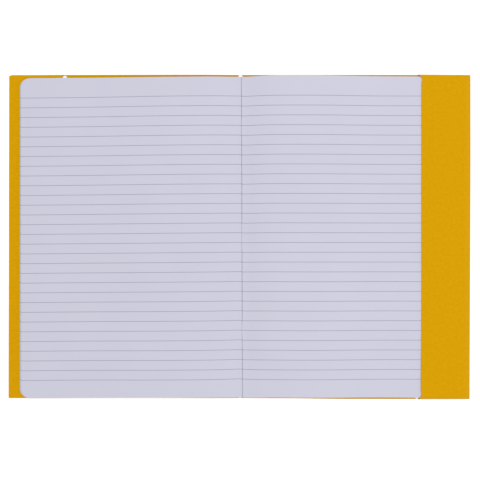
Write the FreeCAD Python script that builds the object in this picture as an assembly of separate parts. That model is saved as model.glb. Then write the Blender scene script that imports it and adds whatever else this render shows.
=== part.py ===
import FreeCAD, Part
import math
import os

# Open composition notebook in a soft slip-on cover, lying flat with its inside up.
# The origin is on the table under the middle of the open cover.
# X runs to the right across the two pages, Y runs up the page and Z points up.
# All lengths are in millimetres.

Vector = FreeCAD.Vector

# Notebook: saddle-stitched leaves in a thin card cover whose halves slide into the pockets
page_width = 145.0
page_height = 210.0
page_corner_radius = 6.6
card_thickness = 0.4
card_corner_radius = 4.0
left_stack_thickness = 1.6
right_stack_thickness = 2.2
fold_half_width = 0.5
left_skew_deg = 0.3
outline_overrun = 2.0

# Cover: one soft plastic sheet whose two ends are folded in and welded as pockets
left_margin = 7.95
right_margin = 4.45
end_margin = 1.0
fold_from_spine = 0.95
sheet_thickness = 0.5
left_flap_width = 34.5
right_flap_width = 32.3
flap_tab_extra = 1.3
flap_relief_depth = 0.65
flap_relief_tip = 3.4
flap_relief_length = 2.5
flap_slope_radius = 3.0
weld_edge_height = 1.1

# Round punched notches at the spine and beside each flap, just open at the top and bottom edges
notch_radius = 1.65
notch_inset = 1.6
notch_beside_flap = 2.0

# Swell of the open leaves beside the fold
left_swell_height = 2.5
right_swell_height = 3.6
left_peak_reach = 36.0
right_peak_reach = 37.0
left_swell_reach = 125.0
right_swell_reach = 104.0
leaf_spread = 1.2
fold_valley_drop = 0.1
rise_reach = 8.0
rise_height = 0.1
crown_reach = 9.0
crown_drop = 0.1

# Wire staples through the fold
staple_wire_radius = 0.18
staple_crown_length = 12.0
staple_leg_bend_radius = 0.5
staple_clinch_length = 4.0
staple_leg_height = 1.3
staple_from_middle = 58.0

# Clearances
pocket_clearance = 0.05
page_edge_clearance = 0.5
weld_clearance = 0.2
body_clearance = 0.3
closing_clearance = 0.4
cut_overrun = 1.0
shortest_edge = 1e-6

# Plan sizes that follow from the page and its margins
cover_width = left_margin + 2 * page_width + right_margin
cover_height = page_height + 2 * end_margin
weld_width = end_margin - weld_clearance
fold_x = left_margin + page_width - cover_width / 2
spine_x = fold_x - fold_from_spine
left_half_width = cover_width / 2 + spine_x
right_half_width = cover_width / 2 - spine_x
flap_slope_end = fold_from_spine + page_width + page_edge_clearance

# Heights that follow from the stack of sheets
card_bottom = sheet_thickness
card_top = card_bottom + card_thickness
left_flap_bottom = card_top + 2 * pocket_clearance
fold_bend_radius = left_flap_bottom / 2
left_stack_bottom = left_flap_bottom + sheet_thickness
left_stack_top = left_stack_bottom + left_stack_thickness
right_stack_bottom = card_top
right_stack_top = right_stack_bottom + right_stack_thickness
right_flap_bottom = right_stack_top + pocket_clearance

# Hinge line of the opened notebook, along Y over the spine line at spine_x
left_peak = left_stack_top + left_swell_height
right_peak = right_stack_top + right_swell_height
hinge_height = (left_peak + right_peak + closing_clearance) / 2


def in_section(x, z):
    """Point of a section in the XZ plane."""
    return Vector(x, 0, z)


def polygon_face(points):
    """Face inside a closed run of straight edges."""
    return Part.Face(Part.makePolygon(points + [points[0]]))


def along_y(face, start, length):
    """Section face drawn out along Y from the given start."""
    solid = face.extrude(Vector(0, length, 0))
    solid.translate(Vector(0, start, 0))
    return solid


def side_edges(points, radii, offset):
    """Edges on one side of a path of straight runs joined by tangent arcs."""
    edges = []
    directions = [(b - a).normalize() for a, b in zip(points, points[1:])]
    normals = [Vector(-d.z, 0, d.x) for d in directions]
    here = points[0] + normals[0] * offset
    for index, radius in enumerate(radii):
        corner = points[index + 1]
        before, after = directions[index], directions[index + 1]
        turn = math.atan2(before.x * after.z - before.z * after.x, before.dot(after))
        tangent = radius * math.tan(abs(turn) / 2)
        side = math.copysign(1, turn)
        arc_start = corner - before * tangent
        arc_end = corner + after * tangent
        centre = arc_start + normals[index] * (radius * side)
        middle = centre + (corner - centre).normalize() * (radius - side * offset)
        arc_start = arc_start + normals[index] * offset
        arc_end = arc_end + normals[index + 1] * offset
        if here.distanceToPoint(arc_start) > shortest_edge:
            edges.append(Part.LineSegment(here, arc_start).toShape())
        edges.append(Part.Arc(arc_start, middle, arc_end).toShape())
        here = arc_end
    last = points[-1] + normals[-1] * offset
    edges.append(Part.LineSegment(here, last).toShape())
    return edges, points[0] + normals[0] * offset, last


def folded_sheet_face(points, radii):
    """Section of the cover sheet along the middle line given by the points."""
    left, left_first, left_last = side_edges(points, radii, sheet_thickness / 2)
    right, right_first, right_last = side_edges(points, radii, -sheet_thickness / 2)
    caps = [Part.LineSegment(left_first, right_first).toShape()]
    caps.append(Part.LineSegment(left_last, right_last).toShape())
    edges = Part.sortEdges(left + right + caps)[0]
    return Part.Face(Part.Wire(edges))


def flap_edge_trim(flap_edge, top):
    """Solid that trims the flap's free edge, with a relief cut near each end."""
    tab_edge = flap_edge - flap_tab_extra
    tip_edge = flap_edge + flap_relief_depth
    end = cover_height / 2
    tip_y = end - flap_relief_tip
    start_y = tip_y - flap_relief_length
    middle_y = (tip_y + start_y) / 2
    middle_x = flap_edge + flap_relief_depth / 4
    outside = tab_edge - cut_overrun
    base = sheet_thickness

    def at(x, y):
        return Vector(x, y, base)

    edges = [
        Part.LineSegment(at(outside, -end), at(tab_edge, -end)).toShape(),
        Part.LineSegment(at(tab_edge, -end), at(tip_edge, -tip_y)).toShape(),
        Part.Arc(at(tip_edge, -tip_y), at(middle_x, -middle_y), at(flap_edge, -start_y)).toShape(),
        Part.LineSegment(at(flap_edge, -start_y), at(flap_edge, start_y)).toShape(),
        Part.Arc(at(flap_edge, start_y), at(middle_x, middle_y), at(tip_edge, tip_y)).toShape(),
        Part.LineSegment(at(tip_edge, tip_y), at(tab_edge, end)).toShape(),
        Part.LineSegment(at(tab_edge, end), at(outside, end)).toShape(),
        Part.LineSegment(at(outside, end), at(outside, -end)).toShape(),
    ]
    return Part.Face(Part.Wire(edges)).extrude(Vector(0, 0, top - base + cut_overrun))


def weld_slopes(start, stop, top):
    """Wedges that press the flap's two ends down to the welded edge."""
    end = cover_height / 2
    inner = end - weld_width
    wedges = []
    for side in (-1, 1):
        corners = [
            Vector(start, side * inner, top),
            Vector(start, side * (end + cut_overrun), top + cut_overrun),
            Vector(start, side * (end + cut_overrun), weld_edge_height),
            Vector(start, side * end, weld_edge_height),
        ]
        wedges.append(polygon_face(corners).extrude(Vector(stop - start, 0, 0)))
    return wedges


def notch_cutters(flap_edge, top):
    """Round notches punched through both edges of half of the cover."""
    notch_y = cover_height / 2 - notch_inset
    cutters = []
    for x in (0, flap_edge - notch_beside_flap):
        for y in (-notch_y, notch_y):
            cutters.append(Part.makeCylinder(notch_radius, top, Vector(x, y, 0)))
    return cutters


def cover_half(half_width, flap_width, flap_bottom):
    """Half of the cover, from the spine line to the fold and back over the pocket."""
    middle = sheet_thickness / 2
    fold = half_width - middle
    flap_edge = half_width - flap_width
    tab_edge = flap_edge - flap_tab_extra
    flap_middle = flap_bottom + middle
    turn_top = middle + 2 * fold_bend_radius
    path = [in_section(0, middle), in_section(fold, middle), in_section(fold, turn_top)]
    radii = [fold_bend_radius, fold_bend_radius]
    if flap_middle > turn_top + shortest_edge:
        path.append(in_section(flap_slope_end, flap_middle))
        radii.append(flap_slope_radius)
    path.append(in_section(tab_edge, flap_middle))
    half = along_y(folded_sheet_face(path, radii), -cover_height / 2, cover_height)
    pocket_side = polygon_face([in_section(tab_edge, middle)] + path[1:])
    for start in (-cover_height / 2, cover_height / 2 - weld_width):
        half = half.fuse(along_y(pocket_side, start, weld_width))
    top = flap_bottom + sheet_thickness
    slopes = weld_slopes(tab_edge - cut_overrun, half_width + cut_overrun, top)
    half = half.cut([flap_edge_trim(flap_edge, top)] + slopes + notch_cutters(flap_edge, top))
    return half.removeSplitter()


def rounded_outline(inner, outer, height, radius, top):
    """Upright prism with square corners at the fold and rounded corners at the fore edge."""
    end = height / 2
    slant = radius * (1 - math.sqrt(0.5))
    edges = [
        Part.LineSegment(Vector(inner, -end, 0), Vector(outer - radius, -end, 0)).toShape(),
        Part.Arc(Vector(outer - radius, -end, 0), Vector(outer - slant, -end + slant, 0),
                 Vector(outer, -end + radius, 0)).toShape(),
        Part.LineSegment(Vector(outer, -end + radius, 0), Vector(outer, end - radius, 0)).toShape(),
        Part.Arc(Vector(outer, end - radius, 0), Vector(outer - slant, end - slant, 0),
                 Vector(outer - radius, end, 0)).toShape(),
        Part.LineSegment(Vector(outer - radius, end, 0), Vector(inner, end, 0)).toShape(),
        Part.LineSegment(Vector(inner, end, 0), Vector(inner, -end, 0)).toShape(),
    ]
    return Part.Face(Part.Wire(edges)).extrude(Vector(0, 0, top))


def swell_edges(inner, low, swell, valley, peak_reach, end_reach):
    """Leaf line from the fold, over the swell and down to the flat stretch."""
    peak = low + swell
    half_fall = (end_reach - peak_reach) / 2
    rise = Part.BezierCurve()
    rise.setPoles([
        in_section(inner, valley),
        in_section(inner + rise_reach, valley + rise_height),
        in_section(inner + crown_reach, peak - crown_drop),
        in_section(peak_reach, peak),
    ])
    fall = Part.BezierCurve()
    fall.setPoles([
        in_section(peak_reach, peak),
        in_section(peak_reach + half_fall, peak),
        in_section(end_reach - half_fall, low),
        in_section(end_reach, low),
    ])
    return rise.toShape(), fall.toShape()


def page_stack(inner, bottom, thickness, swell, fold_bottom, peak_reach, end_reach, skew_deg):
    """Stack of leaves to the right of the fold line, its page outline turned by the skew."""
    top = bottom + thickness
    outer = page_width + outline_overrun
    length = page_height + 2 * outline_overrun
    valley = top - fold_valley_drop
    top_rise, top_fall = swell_edges(inner, top, swell, valley, peak_reach, end_reach)
    bottom_rise, bottom_fall = swell_edges(inner, bottom, swell - leaf_spread, fold_bottom,
                                           peak_reach, end_reach)
    edges = [
        Part.LineSegment(in_section(inner, fold_bottom), in_section(inner, valley)).toShape(),
        top_rise,
        top_fall,
        Part.LineSegment(in_section(end_reach, top), in_section(outer, top)).toShape(),
        Part.LineSegment(in_section(outer, top), in_section(outer, bottom)).toShape(),
        Part.LineSegment(in_section(outer, bottom), in_section(end_reach, bottom)).toShape(),
        bottom_fall,
        bottom_rise,
    ]
    section = Part.Face(Part.Wire(Part.sortEdges(edges)[0]))
    block = along_y(section, -length / 2, length)
    outline = rounded_outline(inner - outline_overrun, page_width, page_height,
                              page_corner_radius, top + swell + cut_overrun)
    outline.rotate(Vector(0, 0, 0), Vector(0, 0, 1), skew_deg)
    return block.common(outline)


def moved(shape, x):
    """The same shape, shifted along X."""
    shape.translate(Vector(x, 0, 0))
    return shape


def mirrored(shape):
    """The same shape on the other side of the line that it was drawn from."""
    return shape.mirror(Vector(0, 0, 0), Vector(1, 0, 0))


def right_cover():
    return moved(cover_half(right_half_width, right_flap_width, right_flap_bottom), spine_x)


def left_cover():
    half = cover_half(left_half_width, left_flap_width, left_flap_bottom)
    return moved(mirrored(half), spine_x)


def card_half(reach):
    """Half of the notebook's own card cover, from the spine line into a pocket."""
    card = rounded_outline(0, reach, page_height, card_corner_radius, card_thickness)
    card.translate(Vector(0, 0, card_bottom))
    return card


def right_card():
    return moved(card_half(page_width + fold_from_spine), spine_x)


def left_card():
    return moved(mirrored(card_half(page_width - fold_from_spine)), spine_x)


def right_pages():
    """Right-hand leaves, tucked under the right flap, with the fold of the whole section."""
    stack = page_stack(-fold_half_width, right_stack_bottom, right_stack_thickness,
                       right_swell_height, right_stack_bottom,
                       right_peak_reach, right_swell_reach, 0)
    return moved(stack, fold_x)


def left_pages():
    """Left-hand leaves, lying over the left flap, their page outline a little skew."""
    stack = page_stack(fold_half_width + body_clearance, left_stack_bottom, left_stack_thickness,
                       left_swell_height, card_top + body_clearance,
                       left_peak_reach, left_swell_reach, -left_skew_deg)
    return moved(mirrored(stack), fold_x)


def staple(middle):
    """Wire staple: crown in the card's fold, legs up through the leaves, ends bent inward."""
    crown_z = card_bottom + card_thickness / 2
    clinch_z = crown_z + staple_leg_height
    half = staple_crown_length / 2
    bend = staple_leg_bend_radius
    slant = bend * (1 - math.sqrt(0.5))

    def at(y, z):
        return Vector(fold_x, middle + y, z)

    tip = half - staple_clinch_length
    edges = [
        Part.LineSegment(at(-tip, clinch_z), at(-half + bend, clinch_z)).toShape(),
        Part.Arc(at(-half + bend, clinch_z), at(-half + slant, clinch_z - slant),
                 at(-half, clinch_z - bend)).toShape(),
        Part.LineSegment(at(-half, clinch_z - bend), at(-half, crown_z + bend)).toShape(),
        Part.Arc(at(-half, crown_z + bend), at(-half + slant, crown_z + slant),
                 at(-half + bend, crown_z)).toShape(),
        Part.LineSegment(at(-half + bend, crown_z), at(half - bend, crown_z)).toShape(),
        Part.Arc(at(half - bend, crown_z), at(half - slant, crown_z + slant),
                 at(half, crown_z + bend)).toShape(),
        Part.LineSegment(at(half, crown_z + bend), at(half, clinch_z - bend)).toShape(),
        Part.Arc(at(half, clinch_z - bend), at(half - slant, clinch_z - slant),
                 at(half - bend, clinch_z)).toShape(),
        Part.LineSegment(at(half - bend, clinch_z), at(tip, clinch_z)).toShape(),
    ]
    ring = Part.makeCircle(staple_wire_radius, at(-tip, clinch_z), Vector(0, -1, 0))
    return Part.Wire(edges).makePipeShell([Part.Wire([ring])], True, False)


def main():
    os.makedirs("parts", exist_ok=True)
    nodes = {
        "right_cover": right_cover(),
        "left_cover": left_cover(),
        "right_card": right_card(),
        "left_card": left_card(),
        "right_pages": right_pages(),
        "left_pages": left_pages(),
        "upper_staple": staple(staple_from_middle),
        "lower_staple": staple(-staple_from_middle),
    }
    for name, shape in nodes.items():
        shape.exportStep("parts/" + name + ".step")
        box = shape.BoundBox
        print(name, shape.ShapeType, "solids", len(shape.Solids), "valid", shape.isValid(),
              "volume", round(shape.Volume, 1),
              "x", round(box.XMin, 2), round(box.XMax, 2),
              "y", round(box.YMin, 2), round(box.YMax, 2),
              "z", round(box.ZMin, 2), round(box.ZMax, 2))
    print("hinge line at x", round(spine_x, 3), "height", round(hinge_height, 3))


main()
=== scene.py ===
import math
import random

import bpy
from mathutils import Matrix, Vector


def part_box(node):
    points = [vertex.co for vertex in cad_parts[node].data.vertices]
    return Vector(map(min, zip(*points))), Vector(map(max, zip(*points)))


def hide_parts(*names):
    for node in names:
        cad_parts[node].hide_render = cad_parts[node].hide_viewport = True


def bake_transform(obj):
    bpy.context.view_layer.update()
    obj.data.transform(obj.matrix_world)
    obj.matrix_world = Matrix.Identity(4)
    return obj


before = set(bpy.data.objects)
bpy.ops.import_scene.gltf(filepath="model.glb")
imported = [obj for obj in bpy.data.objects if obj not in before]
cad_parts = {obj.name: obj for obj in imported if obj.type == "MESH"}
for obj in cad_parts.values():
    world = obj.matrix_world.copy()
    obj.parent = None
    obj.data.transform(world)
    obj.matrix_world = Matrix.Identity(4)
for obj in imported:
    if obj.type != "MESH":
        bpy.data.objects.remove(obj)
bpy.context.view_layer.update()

# Open composition notebook in a soft slip-on cover, seen from straight above.
# Lengths in this script are in millimetres, and MM turns them into metres.
MM = 0.001

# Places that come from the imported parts
COVER_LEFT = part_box("left_cover")[0][0] / MM
COVER_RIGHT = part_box("right_cover")[1][0] / MM
COVER_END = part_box("right_cover")[1][1] / MM
COVER_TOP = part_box("right_cover")[1][2] / MM
SPINE_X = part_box("right_cover")[0][0] / MM
CARD_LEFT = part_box("left_card")[0][0] / MM
CARD_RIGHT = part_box("right_card")[1][0] / MM
PAGE_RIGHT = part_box("right_pages")[1][0] / MM

# Cover sheet
SHEET_THICKNESS = 0.5
LEFT_FLAP_WIDTH = 34.5
RIGHT_FLAP_WIDTH = 32.3
FLAP_TAB_EXTRA = 1.8
RELIEF_DEPTH = 0.65
RELIEF_TIP = 3.4
RELIEF_LENGTH = 2.5
FOLD_RADIUS = 0.5
SLOPE_RADIUS = 3.0
SLOPE_CLEARANCE = 0.5
WELD_RUN = 1.1
NOTCH_RADIUS = 1.65
NOTCH_INSET = 1.6
TOP_LEFT_NOTCH_INSET = 2.0
TOP_RIGHT_NOTCH_INSET = 2.4
NOTCH_BESIDE_FLAP = 2.0
NOTCH_SIDES = 32
CORNER_CUT_WIDTH = 1.8
CORNER_CUT_DEPTH = 0.8
CUT_OVERRUN = 1.0

# How far the cover's top and bottom edges lie up from a straight line, as (x, distance)
TOP_EDGE_DRIFT = ((-150, 0.0), (-90, 0.32), (-28, 0.42), (5, 0.25), (110, 0.27), (150, 0.0))
LOW_EDGE_DRIFT = (
    (-150, -0.1), (-100, 0.12), (30, 0.16), (70, -0.22), (110, -0.22), (120, -0.1), (150, 0.0),
)

# How far the cover's two ends stand out from a straight line, as (y, distance), and where that fades
LEFT_END_DRIFT = ((-106, 0.17), (0, 0.0), (106, -0.1))
RIGHT_END_DRIFT = ((-106, -0.05), (50, 0.25), (106, 0.12))
END_DRIFT_START = 120.0

# How far the right flap's free edge lies to the right of a straight line, as (y, distance)
FLAP_EDGE_DRIFT = ((-106, -0.1), (-45, 0.28), (70, 0.1), (106, 0.05))

# Spacing of the cover's columns and rows
CORNER_CUT_STEP = 0.5
PANEL_STEP = 9
FLAP_STEP = 3
WELD_ROW_STEP = 0.14
TIP_ROW_STEP = 0.45
RELIEF_ROW_STEP = 0.4
FAR_ROWS = [8.0, 11.0, 16.0]
MIDDLE_ROW_STEP = 10
ARC_STEPS = 8
SHORTEST_RUN = 0.01
PANEL_LEAST_WIDTH = 100

# Card cover of the notebook
CARD_THICKNESS = 0.4
CARD_CORNER = 4.0
CARD_HALF_HEIGHT = 103.8
CARD_STEP = 10
CARD_ROW_SHARE = 0.1

# Round the spine line, between these two places, the sheets have close-set columns.
# These columns start beside the staples, which belong to the right half.
BEND_START = 1.5
BEND_END = -3.0
BEND_STEP = 0.25

# Heights and places that follow from the sizes above
SHEET_MIDDLE = SHEET_THICKNESS / 2
CARD_BOTTOM = SHEET_THICKNESS
CARD_TOP = CARD_BOTTOM + CARD_THICKNESS
LEFT_FLAP_MIDDLE = SHEET_MIDDLE + 2 * FOLD_RADIUS
LEFT_LEAVES_BOTTOM = LEFT_FLAP_MIDDLE + SHEET_MIDDLE
RIGHT_FLAP_MIDDLE = COVER_TOP - SHEET_MIDDLE
RIGHT_LEAVES_BOTTOM = CARD_TOP
WELD_HEIGHT = SHEET_THICKNESS + SHEET_MIDDLE
LEFT_FLAP_START = COVER_LEFT + 2 * FOLD_RADIUS
LEFT_FLAP_EDGE = COVER_LEFT + LEFT_FLAP_WIDTH
RIGHT_FLAP_EDGE = COVER_RIGHT - RIGHT_FLAP_WIDTH
SLOPE_END = PAGE_RIGHT + SLOPE_CLEARANCE

# Leaves of both stacks
PAGE_WIDTH = 145.0
PAGE_HALF_HEIGHT = 104.8
PAGE_CORNER = 6.1
LEAF_THICKNESS = 0.085
LEAF_SPREAD = 1.2
LEAF_STEP_RANGE = (0.6, 1.4)
REACH_CHANGE = 0.12
SHIFT_CHANGE = 0.1
VALLEY_RISE_REACH = 8.0
VALLEY_RISE = 0.1
CROWN_REACH = 9.0
CROWN_DROP = 0.1
RISE_STEPS = 30
FALL_STEPS = 14
LEFT_FOLD_CLEARANCE = 0.3
RIGHT_FOLD_CLEARANCE = 0.05
FLAT_STEP = 6
CORNER_GAP = 0.5
FINE_LEAVES = 2
FINE_ROWS = 64
PLAIN_ROWS = 16

# The fold between the stacks. It slants a little, and so does the left leaves' fore edge.
FOLD_X = PAGE_RIGHT - PAGE_WIDTH
FOLD_SLANT_DEG = 0.27
FOLD_SLANT_FADE = 60.0
TOP_FORE_EDGE_SLANT_DEG = 0.14
LOW_FORE_EDGE_SLANT_DEG = 0.02
CREASE_HALF_WIDTH = 0.45
CREASE_DEPTH = 0.52
CREASE_SHIFT = 0.1
CREASE_POWER = 1.5
CREASE_STEPS = 4

# Stretches along the fold where the crease is shallow and lies further left,
# as (middle, half length, share by which it is shallow)
SHALLOW_STRETCHES = ((71.5, 2.5, 0.3), (0.9, 7.5, 0.33), (-60.6, 3.5, 0.55))
SHALLOW_FADE = 3.0
SHALLOW_SHIFT = 0.65

# Ruling
RULE_COUNT = 30
RULE_PITCH = 6.3745
FIRST_RULE = 92.02
RULE_HALF_WIDTH = 0.13
LOW_PRINT_LIFT = 0.5
PRINT_DIP_REACH = 20.0

# Strength of the ink, which is fainter where the paper's grain is low
INK_STEEPNESS = 2.0
INK_LEAST = 0.62
INK_GRAIN_SHARE = 0.5

# Shares of the broad and the fine noise in the cover's mottling
BROAD_SHARE = 0.65
FINE_SHARE = 0.35

# Each stack has its own sizes. Side is the direction away from the fold, peak_reach and
# end_reach say where the swell is highest and where it ends, middle is how far up the page
# lies, and fold_dip is how much lower it lies at the fold.
LEFT_LEAVES = {
    "name": "left_leaves",
    "side": -1,
    "seed": 3,
    "count": 16,
    "bottom": LEFT_LEAVES_BOTTOM,
    "thickness": 1.6,
    "fold_bottom": CARD_TOP + LEFT_FOLD_CLEARANCE,
    "swell": 2.75,
    "peak_reach": 34.0,
    "end_reach": 118.0,
    "middle": 0.015,
    "fold_dip": 0.24,
    "dip_reach": 24.0,
    "end_pull": 0.3,
    "fore_edge_fan": 1.3,
    "fore_edge_shift": 0.0,
    "low_skew_deg": 0.43,
    "top_skew_deg": 0.48,
    "print_skew_deg": 0.09,
    "print_dip": 0.0,
}
RIGHT_LEAVES = {
    "name": "right_leaves",
    "side": 1,
    "seed": 5,
    "count": 22,
    "bottom": RIGHT_LEAVES_BOTTOM,
    "thickness": 2.2,
    "fold_bottom": CARD_TOP + RIGHT_FOLD_CLEARANCE,
    "swell": 3.6,
    "peak_reach": 37.0,
    "end_reach": 104.0,
    "middle": 0.48,
    "fold_dip": 0.77,
    "dip_reach": 24.0,
    "end_pull": 0.05,
    "fore_edge_fan": 0.0,
    "fore_edge_shift": -0.3,
    "low_skew_deg": 0.27,
    "top_skew_deg": 0.27,
    "print_skew_deg": -0.27,
    "print_dip": 0.25,
}

# Edges sharper than this stay sharp in the shading
SHEET_SHARP_DEG = 50
LEAF_SHARP_DEG = 40

# Camera, set against the four corners of the cover in the 480 by 480 photograph
CAMERA_PLACE = (4.70, -0.64, 600.0)
CAMERA_TURN_DEG = (-0.135, 0.390, 0.0675)
FOCAL_PIXELS = 913.3
PHOTO_WIDTH_PIXELS = 480
SENSOR_WIDTH = 36.0
CLIP_START = 10.0

# Studio
FLOOR_HALF_WIDTH = 3000
FLOOR_TONE = 0.85
FLOOR_GLOW = 0.2
LAMP_PLACE = (470.0, 180.0, 1500.0)
LAMP_SIZE = 1400.0
LAMP_WATTS = 13.9
SURROUND_STRENGTH = 0.85


def ease(t):
    """Smooth step from 0 to 1."""
    t = min(max(t, 0.0), 1.0)
    return t * t * (3 - 2 * t)


def mix(a, b, t):
    return a + (b - a) * t


def even_stops(start, stop, step):
    """Places from start to stop, both included, about one step apart."""
    count = max(1, round(abs(stop - start) / step))
    return [mix(start, stop, i / count) for i in range(count + 1)]


def bezier(a, b, c, d, t):
    s = 1 - t
    return a * s ** 3 + 3 * b * s * s * t + 3 * c * s * t * t + d * t ** 3


def drift(stops, place):
    """Smooth line through (place, distance) stops, level before the first and after the last."""
    distance = stops[0][1]
    for (start, low), (stop, high) in zip(stops, stops[1:]):
        if place > start:
            distance = mix(low, high, ease((place - start) / (stop - start)))
    return distance


def grid_faces(columns, rows):
    """Quads of a grid whose points are listed column by column."""
    faces = []
    for i in range(columns - 1):
        for j in range(rows - 1):
            a = i * rows + j
            faces.append((a, a + rows, a + rows + 1, a + 1))
    return faces


def new_piece(name, points, faces):
    """Mesh object from points in millimetres."""
    mesh = bpy.data.meshes.new(name)
    mesh.from_pydata([(x * MM, y * MM, z * MM) for x, y, z in points], [], faces)
    mesh.validate()
    mesh.update()
    piece = bpy.data.objects.new(name, mesh)
    bpy.context.scene.collection.objects.link(piece)
    return piece


def apply_modifiers(piece):
    """Keeps the piece's modified mesh as its own mesh."""
    graph = bpy.context.evaluated_depsgraph_get()
    mesh = bpy.data.meshes.new_from_object(piece.evaluated_get(graph))
    piece.modifiers.clear()
    piece.data = mesh


def smooth(piece, angle_deg):
    """Smooth shading, with edges sharper than the angle left sharp."""
    for face in piece.data.polygons:
        face.use_smooth = True
    piece.data.set_sharp_from_angle(angle=math.radians(angle_deg))


def thicken(piece, thickness):
    """Gives a sheet its thickness, half on each side."""
    solid = piece.modifiers.new("thickness", "SOLIDIFY")
    solid.thickness = thickness * MM
    solid.offset = 0
    solid.use_even_offset = True
    apply_modifiers(piece)


def rounded_cut(x, edge, radius, direction):
    """How far a sheet's end is cut in near its rounded corner at the given edge."""
    inside = (edge - x) * direction
    if inside >= radius:
        return 0.0
    return radius - math.sqrt(max(0.0, radius ** 2 - (radius - inside) ** 2))


def corner_stops(edge, radius, direction):
    """Columns that follow a rounded corner, from its start to the edge."""
    stops = []
    for i in range(ARC_STEPS + 1):
        stops.append(edge - direction * radius * (1 - math.sin(math.pi / 2 * i / ARC_STEPS)))
    return stops


def rounded_path(points, radii):
    """Straight runs through the points, with a tangent arc of each radius at the inner points."""
    path = [points[0]]
    for before, corner, after, radius in zip(points, points[1:], points[2:], radii):
        ux, uz = corner[0] - before[0], corner[1] - before[1]
        vx, vz = after[0] - corner[0], after[1] - corner[1]
        u, v = math.hypot(ux, uz), math.hypot(vx, vz)
        ux, uz, vx, vz = ux / u, uz / u, vx / v, vz / v
        turn = math.atan2(ux * vz - uz * vx, ux * vx + uz * vz)
        side = math.copysign(1, turn)
        tangent = radius * math.tan(abs(turn) / 2)
        start = (corner[0] - ux * tangent, corner[1] - uz * tangent)
        centre = (start[0] - uz * radius * side, start[1] + ux * radius * side)
        first = math.atan2(start[1] - centre[1], start[0] - centre[0])
        for i in range(ARC_STEPS + 1):
            angle = first + turn * i / ARC_STEPS
            path.append((centre[0] + radius * math.cos(angle), centre[1] + radius * math.sin(angle)))
    path.append(points[-1])
    return path


def panel_stops(start, stop):
    """Columns of the flat panel, close together round the spine line."""
    stops = even_stops(start, start + CORNER_CUT_WIDTH, CORNER_CUT_STEP)[1:]
    stops += even_stops(start + CORNER_CUT_WIDTH, BEND_END, PANEL_STEP)[1:-1]
    stops += even_stops(BEND_END, BEND_START, BEND_STEP)
    stops += even_stops(BEND_START, stop, PANEL_STEP)[1:-1]
    return stops


def run_stops(x0, x1):
    """Columns of one straight run of the folded sheet, without its last place."""
    corner_end = COVER_LEFT + CORNER_CUT_WIDTH
    if abs(x1 - x0) > PANEL_LEAST_WIDTH:
        return [x0] + panel_stops(x0, x1)
    if x0 > corner_end > x1:
        return even_stops(x0, corner_end, FLAP_STEP) + even_stops(corner_end, x1, CORNER_CUT_STEP)[1:-1]
    return even_stops(x0, x1, FLAP_STEP)[:-1]


def cover_columns():
    """Middle line of the folded cover sheet, as (x, z)."""
    fold_left = COVER_LEFT + SHEET_MIDDLE
    fold_right = COVER_RIGHT - SHEET_MIDDLE
    corners = [
        (LEFT_FLAP_EDGE, LEFT_FLAP_MIDDLE), (fold_left, LEFT_FLAP_MIDDLE), (fold_left, SHEET_MIDDLE),
        (fold_right, SHEET_MIDDLE), (fold_right, LEFT_FLAP_MIDDLE),
        (SLOPE_END, RIGHT_FLAP_MIDDLE), (RIGHT_FLAP_EDGE, RIGHT_FLAP_MIDDLE),
    ]
    path = rounded_path(corners, [FOLD_RADIUS] * 4 + [SLOPE_RADIUS])
    columns = []
    for (x0, z0), (x1, z1) in zip(path, path[1:]):
        if math.hypot(x1 - x0, z1 - z0) < SHORTEST_RUN:
            continue
        for x in run_stops(x0, x1):
            z = mix(z0, z1, (x - x0) / (x1 - x0)) if x1 != x0 else z0
            columns.append((x, z))
    columns.append(path[-1])
    return columns


def row_offsets():
    """Distances of the rows from the cover's end, close together at the weld and the relief cut."""
    near = even_stops(0, WELD_RUN, WELD_ROW_STEP)
    near += even_stops(WELD_RUN, RELIEF_TIP, TIP_ROW_STEP)[1:]
    near += even_stops(RELIEF_TIP, RELIEF_TIP + RELIEF_LENGTH, RELIEF_ROW_STEP)[1:]
    return near + FAR_ROWS


def corner_cut(x):
    """Small cut at the cover's top left corner."""
    reach = COVER_LEFT + CORNER_CUT_WIDTH - x
    return max(0.0, reach / CORNER_CUT_WIDTH) * CORNER_CUT_DEPTH


def tab_shift(from_end):
    """How far a flap's free edge stands out towards the spine, by the distance from the cover's end."""
    if from_end < RELIEF_TIP:
        return mix(FLAP_TAB_EXTRA, -RELIEF_DEPTH, from_end / RELIEF_TIP)
    t = min(1.0, (from_end - RELIEF_TIP) / RELIEF_LENGTH)
    return -RELIEF_DEPTH * (1 - t) ** 2


def flap_shift(x, y):
    """How far to the right a flap's point lies, because of the shape of the flap's free edge."""
    from_end = COVER_END - abs(y)
    if 0 < x < SLOPE_END:
        share = (SLOPE_END - x) / (SLOPE_END - RIGHT_FLAP_EDGE)
        return share * (drift(FLAP_EDGE_DRIFT, y) - tab_shift(from_end))
    if LEFT_FLAP_START < x < 0:
        share = (x - LEFT_FLAP_START) / (LEFT_FLAP_EDGE - LEFT_FLAP_START)
        return share * tab_shift(from_end)
    return 0.0


def end_shift(x, y):
    """How far to the right a point of the cover lies beside its two ends."""
    near = ease((abs(x) - END_DRIFT_START) / (COVER_RIGHT - END_DRIFT_START))
    if x > 0:
        return near * drift(RIGHT_END_DRIFT, y)
    return -near * drift(LEFT_END_DRIFT, y)


def cover_point(x, y, z):
    """Place of a point of the folded sheet, with its flaps pressed down at the welds."""
    shift_x = end_shift(x, y)
    shift_y = mix(drift(LOW_EDGE_DRIFT, x), drift(TOP_EDGE_DRIFT, x), (y / COVER_END + 1) / 2)
    if z > WELD_HEIGHT:
        shift_x += flap_shift(x, y)
        z = WELD_HEIGHT + (z - WELD_HEIGHT) * ease((COVER_END - abs(y)) / WELD_RUN)
    return (x + shift_x, y + shift_y, z)


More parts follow.
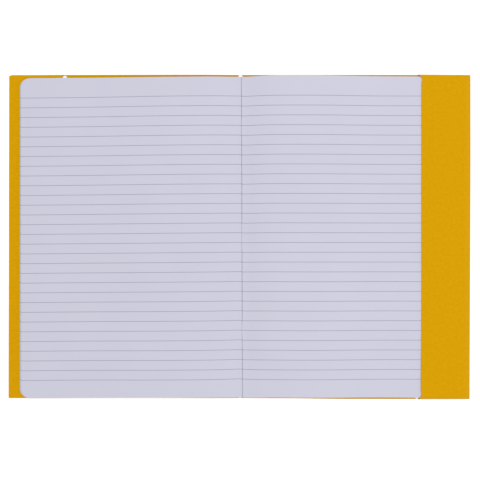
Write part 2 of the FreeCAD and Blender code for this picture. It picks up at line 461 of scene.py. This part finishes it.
def notch_places():
    """Middle of each notch at the cover's top and bottom edges."""
    columns = (
        (LEFT_FLAP_EDGE + NOTCH_BESIDE_FLAP, TOP_LEFT_NOTCH_INSET),
        (SPINE_X, NOTCH_INSET),
        (RIGHT_FLAP_EDGE - NOTCH_BESIDE_FLAP, TOP_RIGHT_NOTCH_INSET),
    )
    places = []
    for x, top_inset in columns:
        places.append((x, -COVER_END + drift(LOW_EDGE_DRIFT, x) + NOTCH_INSET))
        places.append((x, COVER_END + drift(TOP_EDGE_DRIFT, x) - top_inset))
    return places


def notch_punch(middle_x, middle_y):
    """Round bar that reaches through all layers of the cover."""
    ring = []
    for i in range(NOTCH_SIDES):
        angle = 2 * math.pi * i / NOTCH_SIDES
        ring.append((middle_x + NOTCH_RADIUS * math.cos(angle), middle_y + NOTCH_RADIUS * math.sin(angle)))
    points = [(x, y, -CUT_OVERRUN) for x, y in ring]
    points += [(x, y, RIGHT_FLAP_MIDDLE + CUT_OVERRUN) for x, y in ring]
    faces = [tuple(reversed(range(NOTCH_SIDES))), tuple(range(NOTCH_SIDES, 2 * NOTCH_SIDES))]
    for i in range(NOTCH_SIDES):
        after = (i + 1) % NOTCH_SIDES
        faces.append((i, after, NOTCH_SIDES + after, NOTCH_SIDES + i))
    return new_piece("punch", points, faces)


def punch_notches(piece):
    """Punches the round notches through the cover, at its top and bottom edges."""
    for middle_x, middle_y in notch_places():
        punch = notch_punch(middle_x, middle_y)
        cut = piece.modifiers.new("notch", "BOOLEAN")
        cut.operation = "DIFFERENCE"
        cut.solver = "EXACT"
        cut.object = punch
        apply_modifiers(piece)
        bpy.data.objects.remove(punch)


def cover_piece():
    """The whole cover as one folded sheet, with its welded ends, notches and shaped flap edges."""
    offsets = row_offsets()
    middle_rows = even_stops(-COVER_END + offsets[-1], COVER_END - offsets[-1], MIDDLE_ROW_STEP)[1:-1]
    row_count = 2 * len(offsets) + len(middle_rows)
    columns = cover_columns()
    points = []
    for x, z in columns:
        top = COVER_END - corner_cut(x)
        rows = [-COVER_END + e for e in offsets] + middle_rows + [top - e for e in reversed(offsets)]
        for y in rows:
            points.append(cover_point(x, y, z))
    piece = new_piece("cover", points, grid_faces(len(columns), row_count))
    thicken(piece, SHEET_THICKNESS)
    punch_notches(piece)
    smooth(piece, SHEET_SHARP_DEG)
    return piece


def card_piece():
    """The notebook's own card cover, one sheet that runs under the leaves into both pockets."""
    stops = sorted(corner_stops(CARD_LEFT, CARD_CORNER, -1))
    stops += even_stops(CARD_LEFT + CARD_CORNER, BEND_END, CARD_STEP)[1:-1]
    stops += even_stops(BEND_END, BEND_START, BEND_STEP)
    stops += even_stops(BEND_START, CARD_RIGHT - CARD_CORNER, CARD_STEP)[1:-1]
    stops += corner_stops(CARD_RIGHT, CARD_CORNER, 1)
    rows = even_stops(-1, 1, CARD_ROW_SHARE)
    points = []
    for x in stops:
        cut = rounded_cut(x, CARD_LEFT, CARD_CORNER, -1) + rounded_cut(x, CARD_RIGHT, CARD_CORNER, 1)
        for share in rows:
            points.append((x, share * (CARD_HALF_HEIGHT - cut), CARD_BOTTOM + CARD_THICKNESS / 2))
    piece = new_piece("card", points, grid_faces(len(stops), len(rows)))
    thicken(piece, CARD_THICKNESS)
    smooth(piece, SHEET_SHARP_DEG)
    return piece


def leaves_of(stack):
    """Sizes of each leaf from the lowest to the top one, with small chance differences."""
    chance = random.Random(stack["seed"])
    count = stack["count"]
    steps = [chance.uniform(*LEAF_STEP_RANGE) for _ in range(count)]
    total = sum(steps)
    risen = 0.0
    leaves = []
    for k in range(count):
        level = (k + 0.5) / count
        spread = (risen + steps[k] / 2) / total
        risen += steps[k]
        low = stack["bottom"] + stack["thickness"] * level
        fan = stack["fore_edge_fan"] * (0.5 - level) + stack["fore_edge_shift"]
        reach = PAGE_WIDTH + fan + chance.uniform(-REACH_CHANGE, REACH_CHANGE)
        skew_deg = mix(stack["low_skew_deg"], stack["top_skew_deg"], level ** 2)
        slant_deg = mix(LOW_FORE_EDGE_SLANT_DEG, TOP_FORE_EDGE_SLANT_DEG, level ** 2)
        middle = stack["middle"]
        if k < count - 1:
            middle += chance.uniform(-SHIFT_CHANGE, SHIFT_CHANGE)
        leaves.append({
            "level": level,
            "low": low,
            "peak": low + stack["swell"] - LEAF_SPREAD * (1 - spread),
            "valley": mix(stack["fold_bottom"], stack["bottom"] + stack["thickness"] - VALLEY_RISE, level),
            "reach": reach,
            "skew": math.tan(math.radians(skew_deg)),
            "fore_edge_slant": math.tan(math.radians(slant_deg)),
            "middle": middle,
            "rows": FINE_ROWS if k >= count - FINE_LEAVES else PLAIN_ROWS,
        })
    return leaves


def leaf_line(stack, leaf):
    """Side view of a leaf as (distance from the fold, height), from the fold to the fore edge."""
    valley, low, peak = leaf["valley"], leaf["low"], leaf["peak"]
    peak_reach, end_reach = stack["peak_reach"], stack["end_reach"]
    corner_start = leaf["reach"] - PAGE_CORNER
    line = [(d, valley) for d in even_stops(0, CREASE_HALF_WIDTH, CREASE_HALF_WIDTH / CREASE_STEPS)]
    for i in range(1, RISE_STEPS + 1):
        t = i / RISE_STEPS
        d = bezier(0, VALLEY_RISE_REACH, CROWN_REACH, peak_reach, t)
        if d > CREASE_HALF_WIDTH:
            line.append((d, bezier(valley, valley + VALLEY_RISE, peak - CROWN_DROP, peak, t)))
    half_fall = (end_reach - peak_reach) / 2
    for i in range(1, FALL_STEPS + 1):
        t = i / FALL_STEPS
        d = bezier(peak_reach, peak_reach + half_fall, end_reach - half_fall, end_reach, t)
        line.append((d, bezier(peak, peak, low, low, t)))
    line = [p for p in line if p[0] < corner_start - CORNER_GAP]
    last_reach, last_height = line[-1]
    stops = even_stops(last_reach, corner_start, FLAT_STEP)[1:-1]
    for d in stops + corner_stops(leaf["reach"], PAGE_CORNER, 1):
        line.append((d, mix(last_height, low, ease((d - peak_reach) / (end_reach - peak_reach)))))
    return line


def shallowness(y):
    """Share by which the crease of the fold is less deep at y."""
    total = 0.0
    for middle, half_length, share in SHALLOW_STRETCHES:
        total += share * ease(1 + (half_length - abs(y - middle)) / SHALLOW_FADE)
    return total


def crease(d, y):
    """Depth of the crease at a distance from the fold."""
    if d > CREASE_HALF_WIDTH:
        return 0.0
    return CREASE_DEPTH * (1 - shallowness(y)) * (1 - d / CREASE_HALF_WIDTH) ** CREASE_POWER


def leaf_shift(stack, leaf, d):
    """How far up a leaf lies, by the distance from the fold."""
    return leaf["middle"] - stack["fold_dip"] * (1 - ease(d / stack["dip_reach"]))


def leaf_point(stack, leaf, d, y, z):
    """Place of a leaf's point at a distance from the fold, a distance up the page and a height."""
    fold_slant = math.tan(math.radians(FOLD_SLANT_DEG))
    if stack["side"] < 0:
        slant = mix(fold_slant, leaf["fore_edge_slant"], d / leaf["reach"])
    else:
        slant = mix(fold_slant, 0, ease(d / FOLD_SLANT_FADE))
    fold_shift = CREASE_SHIFT - SHALLOW_SHIFT * shallowness(y)
    fold = FOLD_X + fold_shift * (1 - ease(d / FOLD_SLANT_FADE))
    x = fold + stack["side"] * d - slant * y
    return (x, y - d * leaf["skew"] + leaf_shift(stack, leaf, d), z - leaf["level"] * crease(d, y))


def print_place(stack, leaf, d, y):
    """Place on the ruled sheet that shows at a point of a leaf."""
    skew = math.tan(math.radians(stack["print_skew_deg"]))
    lift = LOW_PRINT_LIFT * (1 - leaf["level"])
    dip = stack["print_dip"] * (1 - ease(d / PRINT_DIP_REACH))
    return (d, y + leaf_shift(stack, leaf, d) + d * skew - lift + dip)


def rim_faces(columns, rows, under):
    """Faces that close the rim between an upper grid and the same grid beneath it."""
    rim = list(range(rows))
    rim += [i * rows + rows - 1 for i in range(1, columns)]
    rim += [(columns - 1) * rows + j for j in range(rows - 2, -1, -1)]
    rim += [i * rows for i in range(columns - 2, 0, -1)]
    return [(a, b, under + b, under + a) for a, b in zip(rim, rim[1:] + rim[:1])]


def leaf_slab(stack, leaf):
    """Closed thin slab of one leaf, with the place on the ruled sheet of each of its points."""
    line = leaf_line(stack, leaf)
    rows = even_stops(-1, 1, 2 / leaf["rows"])
    lowest = line[-1][1]
    swell = max(z for d, z in line) - lowest
    points = []
    print_places = []
    for lift in (LEAF_THICKNESS / 2, -LEAF_THICKNESS / 2):
        for d, z in line:
            pull = stack["end_pull"] * max(0.0, z - lowest) / swell
            half_height = PAGE_HALF_HEIGHT - (rounded_cut(d, leaf["reach"], PAGE_CORNER, 1) + pull)
            for share in rows:
                y = share * half_height
                points.append(leaf_point(stack, leaf, d, y, z + lift))
                print_places.append(print_place(stack, leaf, d, y))
    upper = grid_faces(len(line), len(rows))
    under = len(line) * len(rows)
    lower = [tuple(under + i for i in reversed(face)) for face in upper]
    faces = upper + lower + rim_faces(len(line), len(rows), under)
    if stack["side"] < 0:
        faces = [tuple(reversed(face)) for face in faces]
    return points, faces, print_places


def leaves_piece(stack):
    """All leaves on one side of the fold, as separate thin slabs in one mesh."""
    all_points = []
    all_faces = []
    all_print_places = []
    for leaf in leaves_of(stack):
        points, faces, print_places = leaf_slab(stack, leaf)
        start = len(all_points)
        all_points += points
        all_print_places += print_places
        all_faces += [tuple(start + i for i in face) for face in faces]
    piece = new_piece(stack["name"], all_points, all_faces)
    layer = piece.data.uv_layers.new(name="page")
    for loop in piece.data.loops:
        layer.data[loop.index].uv = all_print_places[loop.vertex_index]
    smooth(piece, LEAF_SHARP_DEG)
    return piece


def add_node(tree, kind, place, **settings):
    """New shader node at a place in the tree, with the given settings."""
    node = tree.nodes.new(kind)
    node.location = place
    for name, value in settings.items():
        setattr(node, name, value)
    return node


def maths(tree, operation, place, first, second, clamp=False):
    """Math node. Each input is a socket or a number."""
    node = add_node(tree, "ShaderNodeMath", place, operation=operation, use_clamp=clamp)
    for socket, value in zip(node.inputs, (first, second)):
        if isinstance(value, (int, float)):
            socket.default_value = value
        else:
            tree.links.new(value, socket)
    return node.outputs[0]


def noise(tree, coordinate, place, scale, detail, roughness=0.5):
    node = add_node(tree, "ShaderNodeTexNoise", place)
    node.inputs["Scale"].default_value = scale
    node.inputs["Detail"].default_value = detail
    node.inputs["Roughness"].default_value = roughness
    tree.links.new(coordinate, node.inputs["Vector"])
    return node.outputs["Fac"]


def colour_ramp(tree, factor, place, stops):
    """Colour ramp with (position, colour) stops."""
    node = add_node(tree, "ShaderNodeValToRGB", place)
    elements = node.color_ramp.elements
    while len(elements) < len(stops):
        elements.new(0.5)
    for element, (position, colour) in zip(elements, stops):
        element.position = position
        element.color = (*colour, 1)
    tree.links.new(factor, node.inputs["Fac"])
    return node.outputs["Color"]


def mixed_colour(tree, factor, place, first, second):
    """Mix of two colours. Each input is a socket or a colour."""
    node = add_node(tree, "ShaderNodeMix", place, data_type="RGBA")
    sockets = [s for s in node.inputs if s.type == "RGBA"]
    for socket, value in zip(sockets, (first, second)):
        if isinstance(value, tuple):
            socket.default_value = (*value, 1)
        else:
            tree.links.new(value, socket)
    tree.links.new(factor, node.inputs["Factor"])
    return next(s for s in node.outputs if s.type == "RGBA")


def bump(tree, shader, height, place, strength, distance):
    node = add_node(tree, "ShaderNodeBump", place)
    node.inputs["Strength"].default_value = strength
    node.inputs["Distance"].default_value = distance * MM
    tree.links.new(height, node.inputs["Height"])
    tree.links.new(node.outputs["Normal"], shader.inputs["Normal"])


def new_material(name, roughness, specular):
    """Material with a Principled shader, and its node tree."""
    material = bpy.data.materials.new(name)
    material.use_nodes = True
    tree = material.node_tree
    shader = tree.nodes["Principled BSDF"]
    shader.inputs["Roughness"].default_value = roughness
    shader.inputs["Specular IOR Level"].default_value = specular
    return material, tree, shader


def object_place(tree):
    """Place of a surface point in its object, in metres. The noise scales are per metre."""
    return add_node(tree, "ShaderNodeTexCoord", (-1400, 0)).outputs["Object"]


def cover_material():
    """Golden yellow soft plastic with a fine mottled grain."""
    material, tree, shader = new_material("cover_yellow", roughness=0.6, specular=0.12)
    shader.inputs["Specular Tint"].default_value = (1.0, 0.55, 0.02, 1)
    where = object_place(tree)
    broad = noise(tree, where, (-1100, 300), scale=560, detail=2)
    fine = noise(tree, where, (-1100, 0), scale=1900, detail=2, roughness=0.6)
    broad_part = maths(tree, "MULTIPLY", (-1000, 250), broad, BROAD_SHARE)
    fine_part = maths(tree, "MULTIPLY", (-1000, 100), fine, FINE_SHARE)
    mottle = maths(tree, "ADD", (-900, 200), broad_part, fine_part)
    colour = colour_ramp(tree, mottle, (-650, 250), [
        (0.25, (0.517, 0.247, 0.0006)),
        (0.50, (0.542, 0.272, 0.0016)),
        (0.75, (0.567, 0.297, 0.0030)),
    ])
    tree.links.new(colour, shader.inputs["Base Color"])
    bump(tree, shader, fine, (-300, -200), strength=0.25, distance=0.12)
    return material


def card_material():
    """Plain pale grey card."""
    material, tree, shader = new_material("card_plain", roughness=0.85, specular=0.2)
    fibre = noise(tree, object_place(tree), (-1100, 0), scale=900, detail=4, roughness=0.7)
    colour = colour_ramp(tree, fibre, (-650, 100), [
        (0.3, (0.50, 0.49, 0.46)),
        (0.7, (0.62, 0.61, 0.58)),
    ])
    tree.links.new(colour, shader.inputs["Base Color"])
    bump(tree, shader, fibre, (-300, -200), strength=0.3, distance=0.05)
    return material


def rule_ink(tree, grain):
    """Ink of the printed rule lines, 0 between them and up to 1 on them."""
    page = add_node(tree, "ShaderNodeUVMap", (-1900, 400), uv_map="page").outputs["UV"]
    split = add_node(tree, "ShaderNodeSeparateXYZ", (-1700, 400))
    tree.links.new(page, split.inputs["Vector"])
    down = maths(tree, "SUBTRACT", (-1500, 500), FIRST_RULE, split.outputs["Y"])
    line = maths(tree, "DIVIDE", (-1300, 500), down, RULE_PITCH)
    from_line = maths(tree, "PINGPONG", (-1200, 600), line, 0.5)
    away = maths(tree, "MULTIPLY", (-1100, 600), from_line, RULE_PITCH)
    share_away = maths(tree, "DIVIDE", (-1000, 600), away, RULE_HALF_WIDTH * 2)
    peak = maths(tree, "SUBTRACT", (-900, 600), 1.0, share_away, clamp=True)
    ink = maths(tree, "MULTIPLY", (-800, 600), peak, INK_STEEPNESS, clamp=True)
    above = maths(tree, "GREATER_THAN", (-1000, 400), line, -0.5)
    below = maths(tree, "LESS_THAN", (-1000, 250), line, RULE_COUNT - 0.5)
    ruled = maths(tree, "MULTIPLY", (-800, 350), above, below)
    ink = maths(tree, "MULTIPLY", (-600, 500), ink, ruled)
    uneven = maths(tree, "MULTIPLY", (-700, 200), grain, INK_GRAIN_SHARE)
    strength = maths(tree, "ADD", (-600, 250), uneven, INK_LEAST)
    return maths(tree, "MULTIPLY", (-450, 450), ink, strength, clamp=True)


def paper_material():
    """Smooth uncoated paper with printed rule lines from edge to edge."""
    material, tree, shader = new_material("paper_ruled", roughness=0.8, specular=0.2)
    where = object_place(tree)
    grain = noise(tree, where, (-1100, -50), scale=2600, detail=3, roughness=0.6)
    cloud = noise(tree, where, (-1100, -300), scale=40, detail=3)
    sheet = colour_ramp(tree, cloud, (-650, 50), [
        (0.3, (0.485, 0.479, 0.565)),
        (0.7, (0.493, 0.487, 0.573)),
    ])
    colour = mixed_colour(tree, rule_ink(tree, grain), (-250, 300), sheet, (0.235, 0.256, 0.354))
    tree.links.new(colour, shader.inputs["Base Color"])
    bump(tree, shader, grain, (-300, -250), strength=0.15, distance=0.03)
    return material


def wire_material():
    """Drawn steel wire."""
    material, tree, shader = new_material("staple_steel", roughness=0.32, specular=0.5)
    shader.inputs["Metallic"].default_value = 1.0
    streaks = noise(tree, object_place(tree), (-1100, 0), scale=6000, detail=2)
    colour = colour_ramp(tree, streaks, (-650, 100), [
        (0.3, (0.52, 0.52, 0.54)),
        (0.7, (0.66, 0.66, 0.68)),
    ])
    tree.links.new(colour, shader.inputs["Base Color"])
    bump(tree, shader, streaks, (-300, -200), strength=0.1, distance=0.01)
    return material


def floor_material():
    """White that glows a little, so that the floor shows as white."""
    material, _, shader = new_material("floor_white", roughness=0.9, specular=0.1)
    shader.inputs["Base Color"].default_value = (FLOOR_TONE, FLOOR_TONE, FLOOR_TONE, 1)
    shader.inputs["Emission Color"].default_value = (1, 1, 1, 1)
    shader.inputs["Emission Strength"].default_value = FLOOR_GLOW
    return material


def across_spine(piece, *nodes):
    """Bakes the piece's place into its mesh, and hides the nodes that the piece stands for."""
    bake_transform(piece)
    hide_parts(*nodes)


def add_floor():
    half = FLOOR_HALF_WIDTH
    corners = [(-half, -half, 0), (half, -half, 0), (half, half, 0), (-half, half, 0)]
    floor = new_piece("floor", corners, [(0, 1, 2, 3)])
    floor.data.materials.append(floor_material())


def add_lamp():
    """Square soft light, pointing straight down."""
    data = bpy.data.lights.new("overhead", "AREA")
    data.size = LAMP_SIZE * MM
    data.energy = LAMP_WATTS
    lamp = bpy.data.objects.new("overhead", data)
    lamp.location = [v * MM for v in LAMP_PLACE]
    bpy.context.scene.collection.objects.link(lamp)


def add_surround():
    """Even white light from all round."""
    world = bpy.data.worlds.new("surround")
    world.use_nodes = True
    background = world.node_tree.nodes["Background"]
    background.inputs["Color"].default_value = (1, 1, 1, 1)
    background.inputs["Strength"].default_value = SURROUND_STRENGTH
    bpy.context.scene.world = world
    bpy.context.scene.view_settings.view_transform = "Standard"


def add_camera():
    """Camera straight above the notebook, as in the photograph."""
    data = bpy.data.cameras.new("camera")
    data.sensor_width = SENSOR_WIDTH
    data.lens = FOCAL_PIXELS / PHOTO_WIDTH_PIXELS * SENSOR_WIDTH
    data.clip_start = CLIP_START * MM
    eye = bpy.data.objects.new("camera", data)
    eye.location = [v * MM for v in CAMERA_PLACE]
    eye.rotation_euler = [math.radians(a) for a in CAMERA_TURN_DEG]
    bpy.context.scene.collection.objects.link(eye)
    bpy.context.scene.camera = eye


def build():
    """Makes, finishes and places every piece."""
    paper = paper_material()
    wire = wire_material()

    cover = cover_piece()
    cover.data.materials.append(cover_material())
    across_spine(cover, "left_cover", "right_cover")

    card = card_piece()
    card.data.materials.append(card_material())
    across_spine(card, "left_card", "right_card")

    for stack, node in ((LEFT_LEAVES, "left_pages"), (RIGHT_LEAVES, "right_pages")):
        piece = leaves_piece(stack)
        piece.data.materials.append(paper)
        across_spine(piece, node)

    for name in ("upper_staple", "lower_staple"):
        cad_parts[name].material_slots[0].material = wire

    add_floor()
    add_lamp()
    add_surround()
    add_camera()


build()
